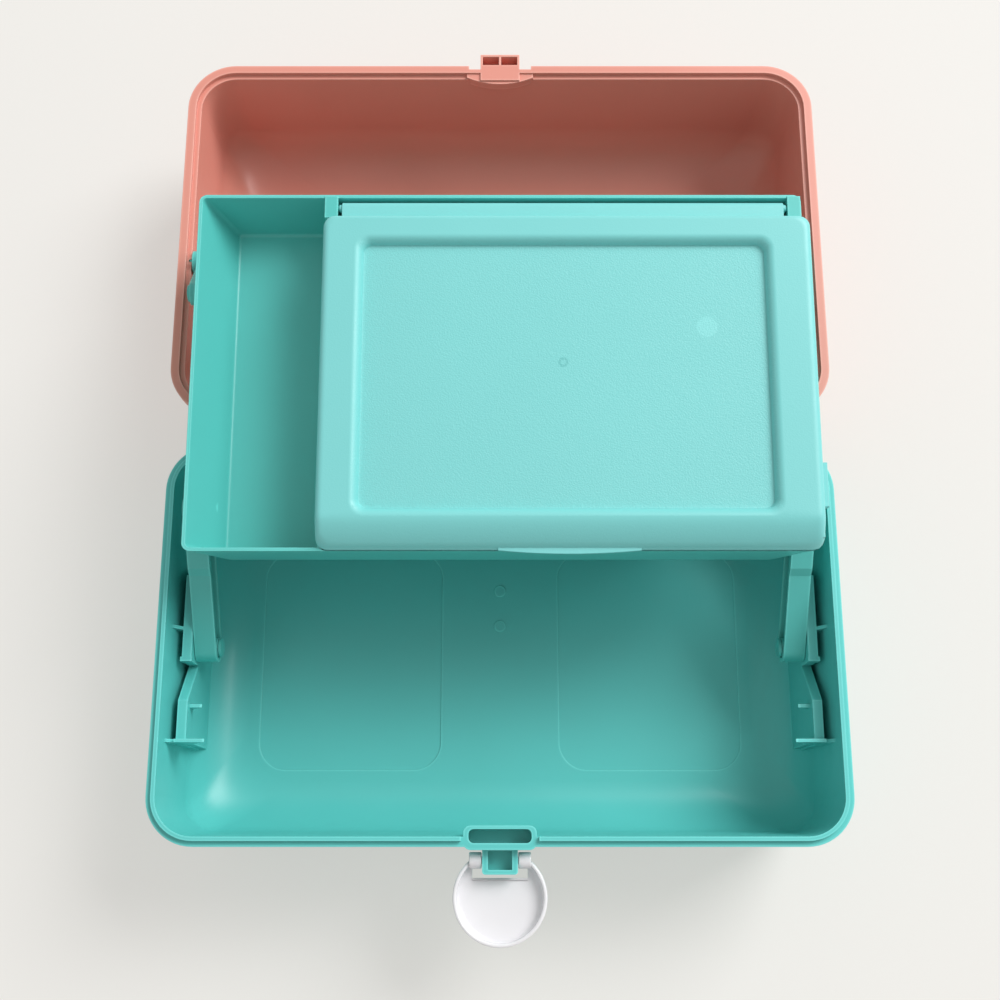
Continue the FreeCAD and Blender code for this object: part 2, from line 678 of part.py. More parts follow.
def land():
    """The half-round land at the lid's rim that closes the latch pocket, and its raised plate."""
    radius = (LAND_HALF_W ** 2 + LAND_REACH ** 2) / (2 * LAND_REACH)
    front, wall = -LID_FRONT + LID_FLANGE_OUT / 2, -HALF_D + WALL
    back = wall + LAND_REACH
    disc = Part.makeCylinder(radius, LID_FLANGE_H - LAND_DROP,
                             Vector(0, back - radius, -LID_FLANGE_H))
    limit = box(-LAND_HALF_W, LAND_HALF_W, -HALF_D, back, -LID_FLANGE_H, 0)
    plate = box(-CATCH_HALF_W, CATCH_HALF_W, front, LAND_PLATE_REACH - LID_FRONT,
                -LAND_DROP - WALL / 2, 0)
    return [disc.common(limit), plate]


def notch():
    """The relief in the lid's rim between the latch's barrels and the flange."""
    front = -LID_FRONT
    right = box(CATCH_HALF_W, NOTCH_HALF_W, front - CUT_PAST, front + NOTCH_DEPTH,
                -LID_FLANGE_H, CUT_PAST)
    return right.fuse(mirrored(right))


def lid_catch():
    """The two-celled catch that the latch hooks over, and its cells."""
    front = -CASE_DEPTH / 2 - CATCH_REACH
    back = -HALF_D + WALL / 2
    block = box(-CATCH_HALF_W, CATCH_HALF_W, front, back, -CATCH_H, 0)
    cells = []
    for side in (-1, 1):
        x0, x1 = sorted((side * CATCH_WALL / 2, side * (CATCH_HALF_W - CATCH_WALL)))
        cells.append(box(x0, x1, front + CATCH_WALL, -LID_FRONT - CATCH_WALL / 2,
                         -CATCH_H + CATCH_WALL, CUT_PAST))
    return block, cells


def link_seat(side):
    """Blind seat in the lid's side wall for the link's stub."""
    inner = wall_x(LINK_LID_DEPTH)
    x0, x1 = sorted((side * (inner - CUT_PAST), side * (inner + LINK_STUB_L)))
    y = CASE_DEPTH / 2 - LINK_LID_BACK
    return rod_x(LINK_PIN_R + RUN_CLEAR, x0, x1, y, -LINK_LID_DEPTH)


# ---------------------------------------------------------------- hinge pins
def hinge_pin(centre, outward):
    """Steel pin of one lid hinge."""
    half = KNUCKLE_MID / 2 + FACE_GAP + KNUCKLE_SIDE
    outer = centre + outward * (half - RIM_GAP)
    inner = centre - outward * (half - HINGE_PIN_CAP - FACE_GAP)
    low, high = sorted((outer, inner))
    return rod_x(HINGE_PIN_R, low, high, HINGE_Y, HINGE_Z)


# ---------------------------------------------------------------- tray
def seat_on_tray(shape):
    """Moves a piece from the tray's own frame (x, v, w) to its open place."""
    shape.rotate(Vector(0, 0, 0), Vector(1, 0, 0), TRAY_TILT_DEG)
    shape.translate(Vector(0, TRAY_FRONT_Y, RIM_Z + TRAY_RISE))
    return shape


def tray_form(inset, floor_w, top_w):
    """The tray's tapered block, drawn in by inset all round, its edges rounded."""
    def ends(w):
        share = w / TRAY_HEIGHT
        front = inset - share * TRAY_FRONT_TAPER
        back = TRAY_DEPTH - inset + share * TRAY_BACK_TAPER
        return TRAY_HALF_W - inset + share * TRAY_SIDE_TAPER, (back - front) / 2, (back + front) / 2

    low_x, low_y, low_mid = ends(floor_w)
    high_x, high_y, high_mid = ends(top_w)
    block = frustum(floor_w, top_w, (low_x, high_x), (low_y, high_y), 0, low_mid, high_mid)
    block = block.makeFillet(TRAY_CORNER_R - inset, sloping(block))
    return fillet(block, TRAY_FILLET, lambda e: on_level(e, floor_w))


def tray_wall_x(drop):
    """Outer face of the tray's side wall at a drop below the rim."""
    return TRAY_HALF_W - TRAY_SIDE_TAPER * drop / TRAY_HEIGHT


def arm_seat_x():
    """Inner end of the arm pin's seat, so that the tray's sloping wall stays closed."""
    return tray_wall_x(PIVOT_DROP - ARM_PIN_R) - TRAY_WALL + PIN_SKIN


def tray():
    """Open tray with a divider, pivot bosses and two hinge posts."""
    body = tray_form(0, -TRAY_HEIGHT, 0)
    bosses = []
    wall = tray_wall_x(PIVOT_DROP)
    for side in (-1, 1):
        for v, reach in ((ARM_TRAY_V, ARM_INNER_X), (LINK_V, LINK_INNER_X)):
            x0, x1 = sorted((side * (wall - TRAY_WALL), side * (reach - 2 * FACE_GAP)))
            bosses.append(rod_x(TRAY_BOSS_R, x0, x1, v, -PIVOT_DROP))
    hollow = tray_form(TRAY_WALL, -TRAY_HEIGHT + TRAY_FLOOR, TRAY_WALL)
    hollow = body.multiFuse(bosses).cut(hollow)
    half = TRAY_WALL / 2
    divider = box(DIVIDER_X - half, DIVIDER_X + half, 0, TRAY_DEPTH, -TRAY_HEIGHT, 0).common(body)
    adds = [divider]
    for x0, x1 in post_spans():
        adds.append(box(x0, x1, CLID_HINGE_V - POST_HALF_V, TRAY_DEPTH - half, -POST_DROP, POST_H))
    hollow = hollow.multiFuse(adds)
    cuts = []
    for side in (-1, 1):
        x0, x1 = sorted((side * arm_seat_x(), side * (ARM_OUTER_X + CUT_PAST)))
        cuts.append(rod_x(ARM_PIN_R + SEAT_CLEAR, x0, x1, ARM_TRAY_V, -PIVOT_DROP))
    for x0, x1 in clid_pin_spans():
        cuts.append(rod_x(CLID_PIN_R + SEAT_CLEAR, x0, x1, CLID_HINGE_V, CLID_HINGE_W))
    return seat_on_tray(hollow.cut(Part.makeCompound(cuts)).removeSplitter())


def post_spans():
    """X ranges of the compartment lid's two hinge posts."""
    right = TRAY_HALF_W - RIGHT_POST_INSET
    return [(CLID_LEFT_X, CLID_LEFT_X + POST_W), (right - POST_W, right)]


def clid_pin_spans():
    """X ranges of the two compartment-lid pins, each half in its post."""
    (_, left), (right, _) = post_spans()
    half = CLID_PIN_L / 2
    return [(left - half, left + half), (right - half, right + half)]


# ---------------------------------------------------------------- compartment lid
def clid_block(thin):
    """The compartment lid's outer form, or its hollow when thinned."""
    x0, x1 = CLID_LEFT_X + thin, CLID_RIGHT_X - thin
    top, front, back = CLID_TOP - thin, thin, CLID_PANEL_V - thin
    low = FACE_GAP if thin == 0 else -CLID_T
    nose = FACE_GAP + CLID_NOSE
    # the roll is one arc, level where it meets the top
    run, rise = CLID_ROLL_V - front, top - nose
    radius = (run ** 2 + rise ** 2) / (2 * rise)
    half_turn = math.asin(run / radius) / 2
    middle = Vector(x0, CLID_ROLL_V - radius * math.sin(half_turn),
                    top - radius * (1 - math.cos(half_turn)))
    ends = Vector(x0, front, nose), Vector(x0, CLID_ROLL_V, top)
    roll = Part.Arc(ends[0], middle, ends[1]).toShape()
    rest = Part.makePolygon([ends[1], Vector(x0, back, top), Vector(x0, back, low),
                             Vector(x0, front, low), ends[0]])
    block = Part.Face(Part.Wire([roll] + rest.Edges)).extrude(Vector(x1 - x0, 0, 0))
    half_d = CLID_PANEL_V / 2
    plan = rounded_prism((x1 - x0) / 2, half_d - thin, CLID_CORNER_R - thin, -TRAY_HEIGHT,
                         TRAY_HEIGHT, (x0 + x1) / 2, half_d)
    return block.common(plan)


def recess_rect():
    """X and v ranges of the panel recess in the compartment lid's top."""
    return (CLID_LEFT_X + RECESS_EDGE_L, CLID_RIGHT_X - RECESS_EDGE_R,
            RECESS_EDGE_F, CLID_PANEL_V - RECESS_EDGE_B)


def rect_wire(rect, inset, radius, w):
    """A rounded rectangle from X and v ranges."""
    x0, x1, v0, v1 = rect
    return rounded_wire((x1 - x0) / 2 - inset, (v1 - v0) / 2 - inset, radius, w,
                        (x0 + x1) / 2, (v0 + v1) / 2)


def compartment_lid():
    """Flip lid with a rolled front, a sunk top panel, a hinge strip, a skirt and finger tabs."""
    rect = recess_rect()
    shell = clid_block(0).cut(clid_block(CLID_T))
    under = Part.Face(rect_wire(rect, -CLID_T, RECESS_R + CLID_T,
                                CLID_TOP - RECESS_DEPTH - CLID_T))
    adds = [under.extrude(Vector(0, 0, RECESS_DEPTH + CLID_T / 2))]
    (_, left), (right, _) = post_spans()
    strip_x0, strip_x1 = left + FACE_GAP * 2, right - FACE_GAP * 2
    adds.append(box(strip_x0, strip_x1, CLID_PANEL_V - CLID_T, CLID_HINGE_V,
                    CLID_HINGE_W - CLID_KNUCKLE_R / 2, CLID_HINGE_W + CLID_KNUCKLE_R))
    adds.append(box(strip_x0, strip_x1, CLID_PANEL_V - CLID_T, CLID_PANEL_V,
                    CLID_HINGE_W, CLID_TOP - RECESS_DEPTH))
    adds.append(rod_x(CLID_KNUCKLE_R, strip_x0, strip_x1, CLID_HINGE_V, CLID_HINGE_W))
    skirt_x = CLID_RIGHT_X - CLID_T
    adds.append(box(skirt_x, CLID_RIGHT_X, CLID_CORNER_R, CLID_PANEL_V - CLID_CORNER_R,
                    -CLID_SKIRT_DROP, CLID_TOP / 2))
    v0, v1 = SIDE_TAB_V
    adds.append(box(skirt_x, CLID_RIGHT_X + SIDE_TAB_REACH, v0, v1,
                    -CLID_SKIRT_DROP, CLID_TOP - RECESS_SLOPE))
    adds.append(finger_tab())
    shell = shell.multiFuse(adds)
    top = rect_wire(rect, 0, RECESS_R, CLID_TOP)
    bottom = rect_wire(rect, RECESS_SLOPE, RECESS_R - RECESS_SLOPE / 2, CLID_TOP - RECESS_DEPTH)
    cuts = [Part.makeLoft([top, bottom], True, True)]
    for x0, x1 in clid_pin_spans():
        cuts.append(rod_x(CLID_PIN_R + RUN_CLEAR, x0 - FACE_GAP, x1 + FACE_GAP,
                          CLID_HINGE_V, CLID_HINGE_W))
    return seat_on_tray(shell.cut(Part.makeCompound(cuts)).removeSplitter())


def finger_tab():
    """A thin crescent under the front edge, to lift the compartment lid by."""
    mid = (CLID_LEFT_X + CLID_RIGHT_X) / 2
    half = TAB_LENGTH / 2
    radius = (half ** 2 + TAB_REACH ** 2) / (2 * TAB_REACH)
    disc = Part.makeCylinder(radius, TAB_T, Vector(mid, radius - TAB_REACH, FACE_GAP))
    limit = box(mid - half, mid + half, -TAB_REACH, CLID_T, 0, CLID_TOP)
    return disc.common(limit)


def mirror_panel():
    """Mirror glued under the compartment lid's panel."""
    x0, x1, v0, v1 = recess_rect()
    under = CLID_TOP - RECESS_DEPTH - CLID_T
    plate = rounded_prism((x1 - x0) / 2 - MIRROR_INSET, (v1 - v0) / 2 - MIRROR_INSET, MIRROR_R,
                          under - MIRROR_T, under, (x0 + x1) / 2, (v0 + v1) / 2)
    return seat_on_tray(plate)


def compartment_pin(span):
    """Small pin of the compartment lid, pressed into its post."""
    x0, x1 = span
    pin = rod_x(CLID_PIN_R, x0, x1, CLID_HINGE_V, CLID_HINGE_W)
    return seat_on_tray(pin)


# ---------------------------------------------------------------- arms, links and their pins
def stadium(length, radius, x0, x1):
    """A bar with round ends from (0, 0) to (length, 0) in Y-Z, drawn out along X."""
    bar = box(x0, x1, 0, length, -radius, radius)
    return bar.fuse(rod_x(radius, x0, x1, 0, 0)).fuse(rod_x(radius, x0, x1, length, 0))


def place_bar(shape, pivot, angle):
    """Turns a bar from +Y to its open heading and moves its first pivot into place."""
    shape.rotate(Vector(0, 0, 0), Vector(1, 0, 0), angle)
    shape.translate(Vector(0, pivot[0], pivot[1]))
    return shape


def front_arm():
    """Right-hand arm: an outer web with a flange all round, open towards the tray."""
    inner, outer = ARM_INNER_X, ARM_OUTER_X
    body = stadium(ARM_LENGTH, ARM_END_R, inner, outer)
    start, end = ARM_LENGTH * ARM_STEP_START, ARM_LENGTH * ARM_STEP_END
    crest = ARM_END_R + ARM_STEP
    pad = profile_x([(start, 0), (start, ARM_END_R), (end, crest), (ARM_LENGTH, crest),
                     (ARM_LENGTH, 0)], inner, outer)
    cap = rod_x(crest, inner, outer, ARM_LENGTH, 0)
    cap = cap.common(box(inner, outer, ARM_LENGTH, ARM_LENGTH + ARM_END_R, 0, crest))
    hollow = stadium(ARM_LENGTH, ARM_END_R - ARM_FLANGE_T, inner - CUT_PAST,
                     outer - ARM_WEB_T)
    body = body.multiFuse([pad, cap]).cut(hollow)
    bosses = [rod_x(ARM_BOSS_R, inner, outer, y, 0) for y in (0, ARM_LENGTH)]
    body = body.multiFuse(bosses)
    holes = [rod_x(ARM_PIN_R + RUN_CLEAR, inner - CUT_PAST, outer + CUT_PAST, y, 0)
             for y in (0, ARM_LENGTH)]
    body = body.cut(Part.makeCompound(holes)).removeSplitter()
    return place_bar(body, ARM_BASE, ARM_OPEN_DEG)


def arm_base_pin():
    """Headed pin that holds an arm to the base's bracket, its head on the tray side."""
    bracket_out = ARM_OUTER_X + FACE_GAP + BRACKET_T
    shaft = rod_x(ARM_PIN_R, ARM_INNER_X - FACE_GAP, bracket_out, *ARM_BASE)
    head = rod_x(ARM_PIN_HEAD_R, ARM_INNER_X - FACE_GAP - ARM_PIN_HEAD_T,
                 ARM_INNER_X - FACE_GAP, *ARM_BASE)
    return shaft.fuse(head)


def arm_tray_pin():
    """Headed pin pressed into the tray's boss, its head outside the arm."""
    inner = arm_seat_x() + FACE_GAP
    shaft = rod_x(ARM_PIN_R, inner, ARM_OUTER_X + FACE_GAP, *ARM_TRAY)
    head = rod_x(ARM_PIN_HEAD_R, ARM_OUTER_X + FACE_GAP,
                 ARM_OUTER_X + FACE_GAP + ARM_PIN_HEAD_T, *ARM_TRAY)
    return shaft.fuse(head)


def lid_link():
    """Right-hand link: a flat bar whose lid end stands out to the wall and ends in a stub."""
    inner, outer = LINK_INNER_X, LINK_INNER_X + LINK_T
    wall = wall_x(LINK_LID_DEPTH + LINK_END_R)
    bar = stadium(LINK_LENGTH, LINK_END_R, inner, outer)
    trunnion = rod_x(LINK_END_R, outer, wall - FACE_GAP, 0, 0)
    stub = rod_x(LINK_PIN_R, wall - FACE_GAP, wall_x(LINK_LID_DEPTH) + LINK_STUB_L - FACE_GAP,
                 0, 0)
    hole = rod_x(LINK_PIN_R + SEAT_CLEAR, inner - CUT_PAST, outer + CUT_PAST, LINK_LENGTH, 0)
    body = bar.multiFuse([trunnion, stub]).cut(hole).removeSplitter()
    return place_bar(body, LINK_LID, LINK_OPEN_DEG)


def link_tray_pin():
    """Headed pin in the link's tray end; it ends just short of the tray's boss."""
    inner, outer = LINK_INNER_X, LINK_INNER_X + LINK_T
    shaft = rod_x(LINK_PIN_R, inner - FACE_GAP, outer, *LINK_TRAY)
    head = rod_x(LINK_HEAD_R, outer, outer + ARM_PIN_HEAD_T, *LINK_TRAY)
    return shaft.fuse(head)


# ---------------------------------------------------------------- latch
def latch():
    """Round dished latch: skin and raised ring, notched for its block, barrels and a snap bead."""
    skin_z = -DISC_SKIN_Z
    top_z = skin_z + DISC_RING_H
    centre = Vector(0, -DISC_CENTRE, skin_z)
    disc = Part.makeCylinder(DISC_R, DISC_RING_H, centre)
    barrel_in = LATCH_BLOCK_HALF_W + FACE_GAP
    cheek_in = barrel_in + BARREL_L
    cheek_out = cheek_in + DISC_RING_T
    lip = -DISC_NOTCH - DISC_LIP_T
    # the dish keeps a wall along the notch's two sides and its end
    dish = Part.makeCylinder(DISC_R - DISC_RING_T, DISC_RING_H,
                             centre + Vector(0, 0, DISC_SKIN_T))
    dish = dish.cut(box(-cheek_out, cheek_out, lip, 0, skin_z, top_z))
    notch_box = box(-cheek_in, cheek_in, -DISC_NOTCH, DISC_NOTCH, skin_z - CUT_PAST,
                    top_z + CUT_PAST)
    body = disc.cut(dish).cut(notch_box)
    adds = []
    for side in (-1, 1):
        for radius, start in ((BARREL_R, barrel_in), (LATCH_STUB_R, barrel_in - LATCH_STUB_L)):
            x0, x1 = sorted((side * start, side * cheek_out))
            adds.append(rod_x(radius, x0, x1, 0, 0))
    bead = -(CATCH_H + LATCH_DROP + RIM_GAP + FACE_GAP)
    adds.append(box(-HOOK_HALF_W, HOOK_HALF_W, bead - HOOK_T, bead, skin_z,
                    skin_z + DISC_SKIN_T + HOOK_H))
    body = body.multiFuse(adds).removeSplitter()
    body.translate(Vector(0, LATCH_Y, LATCH_Z))
    return body


# ---------------------------------------------------------------- carrying handle
def handle_frame(shape):
    """Moves a piece from the lid's rim-up frame to the open lid's place."""
    shape.rotate(Vector(0, 0, 0), Vector(0, 0, 1), 180)
    shape.translate(Vector(0, LID_CENTRE_Y, LID_RIM_Z))
    return shape


def handle():
    """Bail handle folded into its well: two legs and a thicker grip with rounded edges."""
    half = HANDLE_SPAN / 2
    top, bottom = HANDLE_PIVOT_Z + HANDLE_T / 2, HANDLE_PIVOT_Z - HANDLE_T / 2
    grip = box(-half, half, HANDLE_REACH - HANDLE_BAR_W / 2, HANDLE_REACH + HANDLE_BAR_W / 2,
               bottom, top)
    grip = fillet(grip, HANDLE_ROUND, lambda e: e.BoundBox.XLength > HANDLE_REACH)
    legs = []
    for side in (-1, 1):
        x0, x1 = sorted((side * (half - HANDLE_LEG_W), side * half))
        leg = box(x0, x1, 0, HANDLE_REACH, bottom, top)
        legs.append(leg.fuse(rod_x(HANDLE_T / 2, x0, x1, 0, HANDLE_PIVOT_Z)))
    body = grip.multiFuse(legs)
    holes = []
    for side in (-1, 1):
        x0, x1 = sorted((side * (half - HANDLE_LEG_W + WALL), side * (half + CUT_PAST)))
        holes.append(rod_x(HANDLE_PIN_R + RUN_CLEAR, x0, x1, 0, HANDLE_PIVOT_Z))
    return handle_frame(body.cut(Part.makeCompound(holes)).removeSplitter())


def handle_pin(side):
    """Short pin between the well's wall and the handle's leg."""
    half_x, _, _ = well_size()
    outer = half_x + WALL + HANDLE_BOSS_L - WALL / 2 - FACE_GAP
    x0, x1 = sorted((side * (outer - HANDLE_PIN_L), side * outer))
    return handle_frame(rod_x(HANDLE_PIN_R, x0, x1, 0, HANDLE_PIVOT_Z))


# ---------------------------------------------------------------- all pieces
write("base_shell", base_shell())
write("lid_shell", lid_shell())
write("tray", tray())
write("compartment_lid", compartment_lid())
write("mirror_panel", mirror_panel())
write("latch", latch())
write("carry_handle", handle())

left_pin, right_pin = clid_pin_spans()
write("compartment_pin_left", compartment_pin(left_pin))
write("compartment_pin_right", compartment_pin(right_pin))

for side_name, sign in (("right", 1), ("left", -1)):
    write("lid_hinge_pin_" + side_name, hinge_pin(sign * HINGE_X, sign))
    write("handle_pin_" + side_name, handle_pin(-sign))
    for name, make in (("front_arm", front_arm), ("arm_base_pin", arm_base_pin),
                       ("arm_tray_pin", arm_tray_pin), ("lid_link", lid_link),
                       ("link_tray_pin", link_tray_pin)):
        solid = make()
        write(name + "_" + side_name, solid if sign > 0 else mirrored(solid))
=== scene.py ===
"""Looks of the hard-plastic make-up case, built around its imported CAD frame.

Places are in metres in the CAD's frame: +X right, +Y towards the hinge side, +Z up.  The flip lid
and the latch, which are built here, have frames of their own in millimetres.
"""

import json
import math

import bmesh
import bpy
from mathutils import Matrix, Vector


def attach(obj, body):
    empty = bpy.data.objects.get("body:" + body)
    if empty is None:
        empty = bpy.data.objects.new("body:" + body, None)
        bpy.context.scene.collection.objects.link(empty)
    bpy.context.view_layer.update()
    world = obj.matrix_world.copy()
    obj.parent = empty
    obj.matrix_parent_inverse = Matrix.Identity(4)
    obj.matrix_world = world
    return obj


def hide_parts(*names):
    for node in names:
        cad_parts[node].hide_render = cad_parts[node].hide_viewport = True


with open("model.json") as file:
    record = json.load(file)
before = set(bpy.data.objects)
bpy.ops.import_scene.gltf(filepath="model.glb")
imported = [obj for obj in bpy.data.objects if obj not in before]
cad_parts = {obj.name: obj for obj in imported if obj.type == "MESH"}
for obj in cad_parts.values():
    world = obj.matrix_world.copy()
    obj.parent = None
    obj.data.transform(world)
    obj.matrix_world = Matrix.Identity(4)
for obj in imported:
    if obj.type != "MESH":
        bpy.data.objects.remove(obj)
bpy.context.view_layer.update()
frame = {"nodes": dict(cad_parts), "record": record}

MM = 0.001

# ---------------------------------------------------------------- studio
CAMERA_AT = Vector((0.0, -0.1016, 0.709))
CAMERA_TILT_DEG = 15.0          # off straight down
CAMERA_LENS = 48.0
CAMERA_SENSOR = 36.0
CAMERA_NEAR = 0.01
FLOOR_SIZE = 12.0
FLOOR_COLOUR = (238, 236, 232)
FLOOR_FIBRE = 2                 # display steps between the floor's paler and darker fibres
FLOOR_FIBRES = 260.0            # fibres to the metre
FLOOR_GLOW = 0.56               # share of the floor that the camera sees unshaded
WORLD_COLOUR = (255, 254, 251)
WORLD_STRENGTH = 0.51
KEY_AT = Vector((2.5, 2.1, 3.0))
KEY_AIM = Vector((0.0, 0.08, 0.03))
KEY_SIZE = 2.4
KEY_POWER = 180.0


def linear(rgb):
    """Scene-linear colour with alpha from 0-255 display values."""
    def channel(v):
        v = v / 255
        return v / 12.92 if v <= 0.04045 else ((v + 0.055) / 1.055) ** 2.4
    return tuple(channel(v) for v in rgb) + (1.0,)


def shifted(rgb, steps):
    """Scene-linear colour of rgb made lighter, or darker below 0, by display steps."""
    return linear(tuple(min(255, v + steps) for v in rgb))


def scaled(rgb, factor):
    """Scene-linear colour of rgb times factor, with alpha 1."""
    return tuple(min(1.0, c * factor) for c in linear(rgb)[:3]) + (1.0,)


# ---------------------------------------------------------------- materials
class Nodes:
    """A short way to write a material's node tree."""

    def __init__(self, name):
        self.material = bpy.data.materials.new(name)
        self.material.use_nodes = True
        self.tree = self.material.node_tree
        self.shader = self.tree.nodes["Principled BSDF"]
        self.place = self.add("ShaderNodeTexCoord").outputs["Object"]

    def add(self, kind, **settings):
        node = self.tree.nodes.new(kind)
        for name, value in settings.items():
            setattr(node, name, value)
        return node

    def link(self, source, target):
        self.tree.links.new(source, target)

    def noise(self, scale, detail=2.0, rough=0.5, stretch=(1, 1, 1)):
        """Noise with scale patches to the metre."""
        mapping = self.add("ShaderNodeMapping")
        mapping.inputs["Scale"].default_value = stretch
        self.link(self.place, mapping.inputs["Vector"])
        noise = self.add("ShaderNodeTexNoise")
        noise.inputs["Scale"].default_value = scale
        noise.inputs["Detail"].default_value = detail
        noise.inputs["Roughness"].default_value = rough
        self.link(mapping.outputs["Vector"], noise.inputs["Vector"])
        return noise.outputs["Fac"]

    def between(self, value, low, high, start=0.3, end=0.7):
        """value's stretch from start to end, spread over low to high."""
        span = self.add("ShaderNodeMapRange")
        for name, number in (("From Min", start), ("From Max", end), ("To Min", low),
                             ("To Max", high)):
            span.inputs[name].default_value = number
        self.link(value, span.inputs["Value"])
        return span.outputs["Result"]

    def mix(self, factor, a, b):
        """Colour a where factor is 0 and b where it is 1; each is a colour or a socket."""
        mix = self.add("ShaderNodeMix", data_type="RGBA")
        self.link(factor, mix.inputs["Factor"])
        for socket, colour in ((mix.inputs["A"], a), (mix.inputs["B"], b)):
            if isinstance(colour, tuple):
                socket.default_value = colour
            else:
                self.link(colour, socket)
        return mix.outputs["Result"]

    def math(self, operation, *values):
        node = self.add("ShaderNodeMath", operation=operation)
        for socket, value in zip(node.inputs, values):
            if isinstance(value, (int, float)):
                socket.default_value = value
            else:
                self.link(value, socket)
        return node.outputs["Value"]

    def axes(self):
        """X and Y of the surface point, in metres at rest."""
        split = self.add("ShaderNodeSeparateXYZ")
        self.link(self.place, split.inputs["Vector"])
        return split.outputs["X"], split.outputs["Y"]

    def near(self, x, y, radius):
        """1 inside a spot seen from above, 0 outside it."""
        offs = [self.math("SUBTRACT", value, at) for value, at in zip(self.axes(), (x, y))]
        squares = [self.math("MULTIPLY", off, off) for off in offs]
        reach = self.math("SQRT", self.math("ADD", *squares))
        return self.between(reach, 1, 0, radius - SPOT_SOFT, radius + SPOT_SOFT)

    def inside(self, low, high, soft):
        """1 inside a rectangle seen from above, 0 outside it."""
        sides = []
        for value, start, end in zip(self.axes(), low, high):
            off = self.math("ABSOLUTE", self.math("SUBTRACT", value, (start + end) / 2))
            half = (end - start) / 2
            sides.append(self.between(off, 1, 0, half - soft, half))
        return self.math("MULTIPLY", *sides)

    def bump(self, height, strength, distance, normal=None):
        """A normal tilted by height, on top of another normal if one is given."""
        bump = self.add("ShaderNodeBump")
        bump.inputs["Strength"].default_value = strength
        bump.inputs["Distance"].default_value = distance
        self.link(height, bump.inputs["Height"])
        if normal is not None:
            self.link(normal, bump.inputs["Normal"])
        return bump.outputs["Normal"]


EDGE_ROUND = 0.4 * MM
EDGE_HIGHLIGHT_REACH = 1.1 * MM           # how far the painted highlight line runs in from an outer edge
EDGE_HIGHLIGHT_OPEN = (0.35, 0.95)        # openness inside the wall: full painted highlight at the first, plain colour at the second
EDGE_HIGHLIGHT_STEPS = 46                 # display steps between the plastic and its painted edge highlight
DRIFT_SCALE = 6.0               # the slow drift of tone, in patches to the metre
SHEEN_SCALE = 38.0              # patches of more and less polished surface
SHEEN_LOW, SHEEN_HIGH = -0.05, 0.06
SINK_SCALE = 22.0               # faint waves where the plastic shrank
SINK_STRENGTH, SINK_DEPTH = 0.25, 0.35 * MM
GRAIN_DEPTH = 0.12 * MM
GRAIN_OUTSIDE = 0.35            # share of the grain that is left outside its panel
SPOT_SOFT = 0.3 * MM


def plastic(name, colour, roughness=0.36, grain=0.10, grain_size=0.9 * MM, tone=0.03,
            where=None, edge=0.0):
    """Injection-moulded plastic: fine spark texture, slow tone drift, softened edges, and with edge
    above 0 a painted highlight that makes thin outer edges paler.
    """
    n = Nodes(name)
    drift = n.between(n.noise(DRIFT_SCALE, 3.0), 0, 1)
    base = n.mix(drift, scaled(colour, 1 - tone), scaled(colour, 1 + tone))
    # painted highlight: the colour turns paler where the wall is thin near an outer edge, standing in
    # for light caught on rounded rims
    if edge:
        painted_highlight_ao = n.add("ShaderNodeAmbientOcclusion", samples=4, inside=True, only_local=True)
        painted_highlight_ao.inputs["Distance"].default_value = EDGE_HIGHLIGHT_REACH
        base = n.mix(n.between(painted_highlight_ao.outputs["AO"], edge, 0, *EDGE_HIGHLIGHT_OPEN), base,
                     shifted(colour, EDGE_HIGHLIGHT_STEPS))
    n.link(base, n.shader.inputs["Base Color"])
    patches = n.noise(SHEEN_SCALE, 4.0, 0.6)
    n.link(n.between(patches, roughness + SHEEN_LOW, roughness + SHEEN_HIGH),
           n.shader.inputs["Roughness"])
    n.shader.inputs["Specular IOR Level"].default_value = 0.5
    bevel = n.add("ShaderNodeBevel", samples=6)
    bevel.inputs["Radius"].default_value = EDGE_ROUND
    waves = n.bump(n.noise(SINK_SCALE, 1.0), SINK_STRENGTH, SINK_DEPTH, bevel.outputs["Normal"])
    spark = n.noise(1 / grain_size, 3.0, 0.65)
    if where:
        spark = n.math("MULTIPLY", spark, n.between(n.inside(*where), GRAIN_OUTSIDE, 1, 0, 1))
    n.link(n.bump(spark, grain, GRAIN_DEPTH, waves), n.shader.inputs["Normal"])
    return n


def steel(name):
    """Drawn steel wire with fine length-wise scratches."""
    n = Nodes(name)
    n.shader.inputs["Metallic"].default_value = 1.0
    scratch = n.noise(900.0, 2.0, 0.5, stretch=(0.05, 1, 1))
    n.link(n.mix(scratch, linear(STEEL_DARK), linear(STEEL_LIGHT)), n.shader.inputs["Base Color"])
    n.link(n.between(scratch, 0.22, 0.38), n.shader.inputs["Roughness"])
    n.link(n.bump(scratch, 0.15, 0.05 * MM), n.shader.inputs["Normal"])
    return n


def mirror_glass(name):
    """Silvered mirror with a faint dusty film."""
    n = Nodes(name)
    n.shader.inputs["Metallic"].default_value = 1.0
    dust = n.noise(30.0, 5.0, 0.6)
    n.link(n.mix(dust, linear(MIRROR_DARK), linear(MIRROR_LIGHT)), n.shader.inputs["Base Color"])
    n.link(n.between(dust, 0.015, 0.05), n.shader.inputs["Roughness"])
    return n


def milky_plastic(name):
    """Milky polypropylene of the latch."""
    n = plastic(name, MILK, 0.24, grain=0.02, grain_size=1.6 * MM, tone=0.01)
    n.shader.inputs["IOR"].default_value = 1.49
    n.shader.inputs["Subsurface Weight"].default_value = 0.5
    n.shader.inputs["Subsurface Radius"].default_value = (0.004, 0.004, 0.004)
    n.shader.inputs["Subsurface Scale"].default_value = 1.0
    return n


